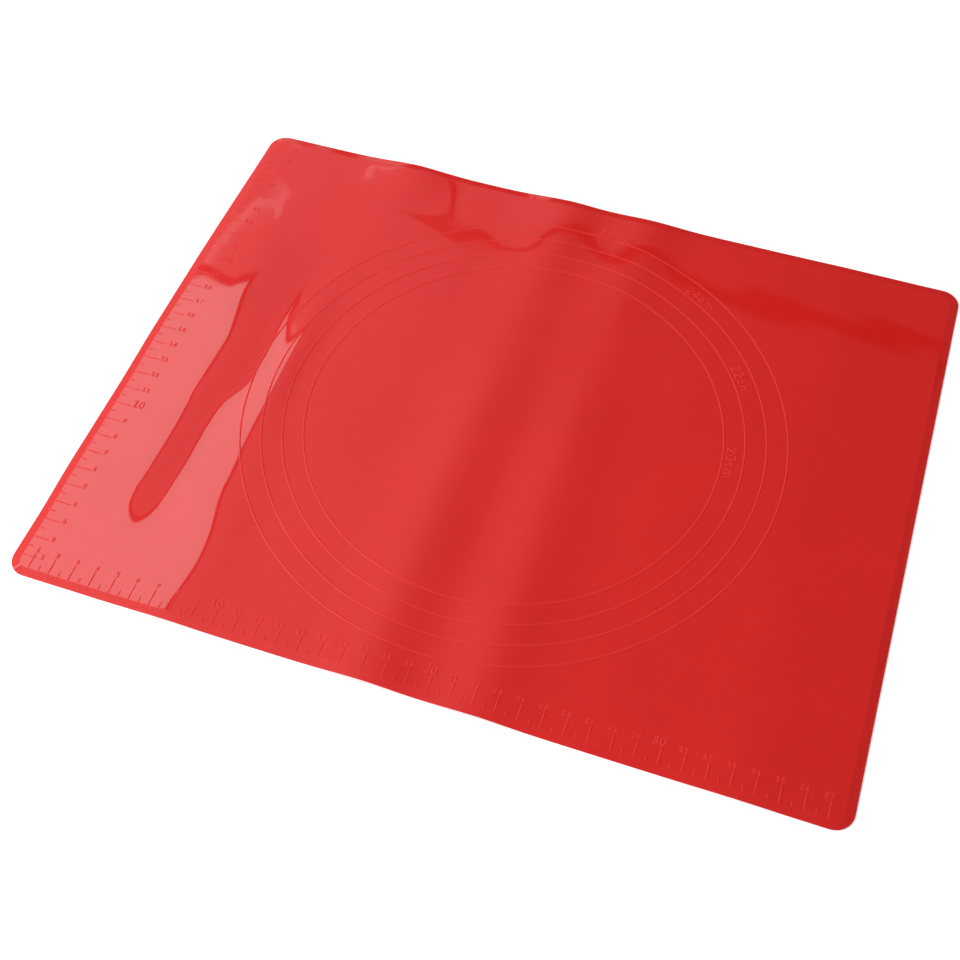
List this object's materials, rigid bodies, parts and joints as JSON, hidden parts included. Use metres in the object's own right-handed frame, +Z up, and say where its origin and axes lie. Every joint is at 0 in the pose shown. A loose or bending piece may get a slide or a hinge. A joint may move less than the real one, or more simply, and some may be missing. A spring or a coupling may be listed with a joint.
{
  "type": "silicone baking mat",
  "caption": "Flat rectangular silicone baking mat with rounded corners, a bevelled rim, raised rulers along two edges and raised pastry circles; it rolls up along its length.",
  "frame": {"origin": "middle of the mat's underside", "axes": "+X along the mat's length, away from the side ruler; +Y across it, away from the front ruler; +Z up, out of the marked face"},
  "size_m": [0.38, 0.3, 0.0012],
  "materials": {
    "silicone_sheet": "semi-gloss moulded silicone",
    "silicone_marks": "semi-gloss moulded silicone"
  },
  "bodies": {
    "section_01": {"front_ruler_01": "silicone_marks", "mat_section_01": "silicone_sheet", "side_ruler_lines": "silicone_marks", "side_ruler_numerals": "silicone_marks"},
    "section_02": {"front_ruler_02": "silicone_marks", "mat_section_02": "silicone_sheet"},
    "section_03": {"circle_marks_01": "silicone_marks", "front_ruler_03": "silicone_marks", "mat_section_03": "silicone_sheet"},
    "section_04": {"circle_marks_02": "silicone_marks", "front_ruler_04": "silicone_marks", "mat_section_04": "silicone_sheet"},
    "section_05": {"circle_marks_03": "silicone_marks", "front_ruler_05": "silicone_marks", "mat_section_05": "silicone_sheet"},
    "section_06": {"circle_marks_04": "silicone_marks", "front_ruler_06": "silicone_marks", "mat_section_06": "silicone_sheet"},
    "section_07": {"circle_marks_05": "silicone_marks", "front_ruler_07": "silicone_marks", "mat_section_07": "silicone_sheet"},
    "section_08": {"circle_marks_06": "silicone_marks", "front_ruler_08": "silicone_marks", "mat_section_08": "silicone_sheet"},
    "section_09": {"circle_marks_07": "silicone_marks", "front_ruler_09": "silicone_marks", "mat_section_09": "silicone_sheet"},
    "section_10": {"circle_marks_08": "silicone_marks", "front_ruler_10": "silicone_marks", "mat_section_10": "silicone_sheet"},
    "section_11": {"circle_marks_09": "silicone_marks", "front_ruler_11": "silicone_marks", "mat_section_11": "silicone_sheet"},
    "section_12": {"circle_marks_10": "silicone_marks", "front_ruler_12": "silicone_marks", "mat_section_12": "silicone_sheet"},
    "section_13": {"circle_marks_11": "silicone_marks", "front_ruler_13": "silicone_marks", "mat_section_13": "silicone_sheet"},
    "section_14": {"circle_marks_12": "silicone_marks", "front_ruler_14": "silicone_marks", "mat_section_14": "silicone_sheet"},
    "section_15": {"circle_marks_13": "silicone_marks", "front_ruler_15": "silicone_marks", "mat_section_15": "silicone_sheet"},
    "section_16": {"circle_marks_14": "silicone_marks", "front_ruler_16": "silicone_marks", "mat_section_16": "silicone_sheet"},
    "section_17": {"front_ruler_17": "silicone_marks", "mat_section_17": "silicone_sheet"},
    "section_18": {"front_ruler_18": "silicone_marks", "mat_section_18": "silicone_sheet"},
    "section_19": {"front_ruler_19": "silicone_marks", "mat_section_19": "silicone_sheet"}
  },
  "joints": [
    {"name": "roll_01", "type": "hinge", "parent": "section_01", "child": "section_02", "pos_m": [-0.167, 0, 0.0012], "axis": [0, -1, 0], "range_deg": [0, 22]},
    {"name": "roll_02", "type": "hinge", "parent": "section_02", "child": "section_03", "pos_m": [-0.147, 0, 0.0012], "axis": [0, -1, 0], "range_deg": [0, 23.29]},
    {"name": "roll_03", "type": "hinge", "parent": "section_03", "child": "section_04", "pos_m": [-0.127, 0, 0.0012], "axis": [0, -1, 0], "range_deg": [0, 24.59]},
    {"name": "roll_04", "type": "hinge", "parent": "section_04", "child": "section_05", "pos_m": [-0.107, 0, 0.0012], "axis": [0, -1, 0], "range_deg": [0, 25.88]},
    {"name": "roll_05", "type": "hinge", "parent": "section_05", "child": "section_06", "pos_m": [-0.087, 0, 0.0012], "axis": [0, -1, 0], "range_deg": [0, 27.18]},
    {"name": "roll_06", "type": "hinge", "parent": "section_06", "child": "section_07", "pos_m": [-0.067, 0, 0.0012], "axis": [0, -1, 0], "range_deg": [0, 28.47]},
    {"name": "roll_07", "type": "hinge", "parent": "section_07", "child": "section_08", "pos_m": [-0.047, 0, 0.0012], "axis": [0, -1, 0], "range_deg": [0, 29.76]},
    {"name": "roll_08", "type": "hinge", "parent": "section_08", "child": "section_09", "pos_m": [-0.027, 0, 0.0012], "axis": [0, -1, 0], "range_deg": [0, 31.06]},
    {"name": "roll_09", "type": "hinge", "parent": "section_09", "child": "section_10", "pos_m": [-0.007, 0, 0.0012], "axis": [0, -1, 0], "range_deg": [0, 32.35]},
    {"name": "roll_10", "type": "hinge", "parent": "section_10", "child": "section_11", "pos_m": [0.013, 0, 0.0012], "axis": [0, -1, 0], "range_deg": [0, 33.65]},
    {"name": "roll_11", "type": "hinge", "parent": "section_11", "child": "section_12", "pos_m": [0.033, 0, 0.0012], "axis": [0, -1, 0], "range_deg": [0, 34.94]},
    {"name": "roll_12", "type": "hinge", "parent": "section_12", "child": "section_13", "pos_m": [0.053, 0, 0.0012], "axis": [0, -1, 0], "range_deg": [0, 36.24]},
    {"name": "roll_13", "type": "hinge", "parent": "section_13", "child": "section_14", "pos_m": [0.073, 0, 0.0012], "axis": [0, -1, 0], "range_deg": [0, 37.53]},
    {"name": "roll_14", "type": "hinge", "parent": "section_14", "child": "section_15", "pos_m": [0.093, 0, 0.0012], "axis": [0, -1, 0], "range_deg": [0, 38.82]},
    {"name": "roll_15", "type": "hinge", "parent": "section_15", "child": "section_16", "pos_m": [0.113, 0, 0.0012], "axis": [0, -1, 0], "range_deg": [0, 40.12]},
    {"name": "roll_16", "type": "hinge", "parent": "section_16", "child": "section_17", "pos_m": [0.133, 0, 0.0012], "axis": [0, -1, 0], "range_deg": [0, 41.41]},
    {"name": "roll_17", "type": "hinge", "parent": "section_17", "child": "section_18", "pos_m": [0.153, 0, 0.0012], "axis": [0, -1, 0], "range_deg": [0, 42.71]},
    {"name": "roll_18", "type": "hinge", "parent": "section_18", "child": "section_19", "pos_m": [0.173, 0, 0.0012], "axis": [0, -1, 0], "range_deg": [0, 44]}
  ],
  "couplings": [
    {"joint": "roll_02", "follows": "roll_01", "ratio": 1.0588},
    {"joint": "roll_03", "follows": "roll_01", "ratio": 1.1176},
    {"joint": "roll_04", "follows": "roll_01", "ratio": 1.1765},
    {"joint": "roll_05", "follows": "roll_01", "ratio": 1.2353},
    {"joint": "roll_06", "follows": "roll_01", "ratio": 1.2941},
    {"joint": "roll_07", "follows": "roll_01", "ratio": 1.3529},
    {"joint": "roll_08", "follows": "roll_01", "ratio": 1.4118},
    {"joint": "roll_09", "follows": "roll_01", "ratio": 1.4706},
    {"joint": "roll_10", "follows": "roll_01", "ratio": 1.5294},
    {"joint": "roll_11", "follows": "roll_01", "ratio": 1.5882},
    {"joint": "roll_12", "follows": "roll_01", "ratio": 1.6471},
    {"joint": "roll_13", "follows": "roll_01", "ratio": 1.7059},
    {"joint": "roll_14", "follows": "roll_01", "ratio": 1.7647},
    {"joint": "roll_15", "follows": "roll_01", "ratio": 1.8235},
    {"joint": "roll_16", "follows": "roll_01", "ratio": 1.8824},
    {"joint": "roll_17", "follows": "roll_01", "ratio": 1.9412},
    {"joint": "roll_18", "follows": "roll_01", "ratio": 2}
  ]
}
